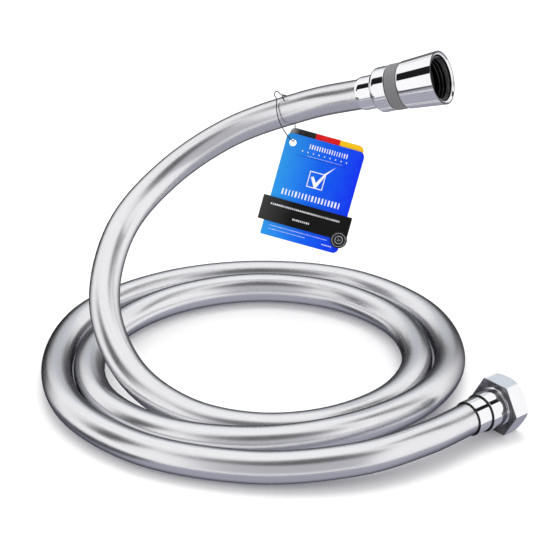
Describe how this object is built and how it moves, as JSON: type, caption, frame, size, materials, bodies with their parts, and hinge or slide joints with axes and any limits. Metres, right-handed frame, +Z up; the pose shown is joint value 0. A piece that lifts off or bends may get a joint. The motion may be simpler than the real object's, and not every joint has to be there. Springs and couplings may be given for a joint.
{
  "type": "shower hose",
  "caption": "Smooth silver shower hose coiled on the floor, with a swivelling cone nut at its raised end, a hexagon nut at the other and a small hang tag on a wire loop.",
  "frame": {"origin": "on the floor, under the middle of the box round the two fittings, the wire loop and the tag", "axes": "+Z up; -Y is the side the tag faces; the cone end lies at the back and the hexagon end at the front right"},
  "size_m": [0.2154, 0.2011, 0.141],
  "materials": {
    "jacket": "satin silver PVC",
    "inner": "woven polyester and food-grade tube",
    "chrome": "polished chrome plate",
    "brass": "turned brass",
    "grey_ring": "matte grey",
    "slip": "plain white",
    "seal": "matte black rubber",
    "wire": "dark coated wire",
    "card_blue": "blue printed card",
    "card_stripe": "printed card with three plain stripes",
    "paper_black": "black paper"
  },
  "bodies": {
    "hose": {"hose_jacket": "jacket", "hose_braid": "inner", "hose_liner": "inner", "cone_ferrule": "chrome", "cone_tail": "brass", "cone_sleeve": "chrome", "slip_washer": "slip", "hex_ferrule": "chrome", "hex_tail": "brass"},
    "swivel": {"bearing_ring": "grey_ring", "swivel_oring": "seal", "cone_nut": "chrome", "cone_washer": "seal"},
    "coupling": {"hex_nut": "chrome", "hex_washer": "seal"},
    "tie": {"tie_wire": "wire"},
    "tag": {"tag_card": "card_blue", "tag_backing": "card_stripe", "tag_band": "paper_black", "tag_seal": "paper_black"}
  },
  "joints": [
    {"name": "swivel_turn", "type": "hinge", "parent": "hose", "child": "swivel", "pos_m": [0.01506, 0.03779, 0.12581], "axis": [0.8472, -0.4132, 0.3338], "continuous": true},
    {"name": "coupling_turn", "type": "hinge", "parent": "hose", "child": "coupling", "pos_m": [0.04682, -0.05422, 0.0115], "axis": [0.7604, 0.6494, 0], "continuous": true},
    {"name": "tie_swing", "type": "hinge", "parent": "hose", "child": "tie", "pos_m": [-0.04593, 0.06515, 0.10167], "axis": [0.9088, -0.1997, 0.3664], "range_deg": [-25, 25]},
    {"name": "tag_swing", "type": "hinge", "parent": "tie", "child": "tag", "pos_m": [-0.04163, 0.06294, 0.08761], "axis": [0, -0.9563, 0.2924], "range_deg": [-40, 15]}
  ]
}
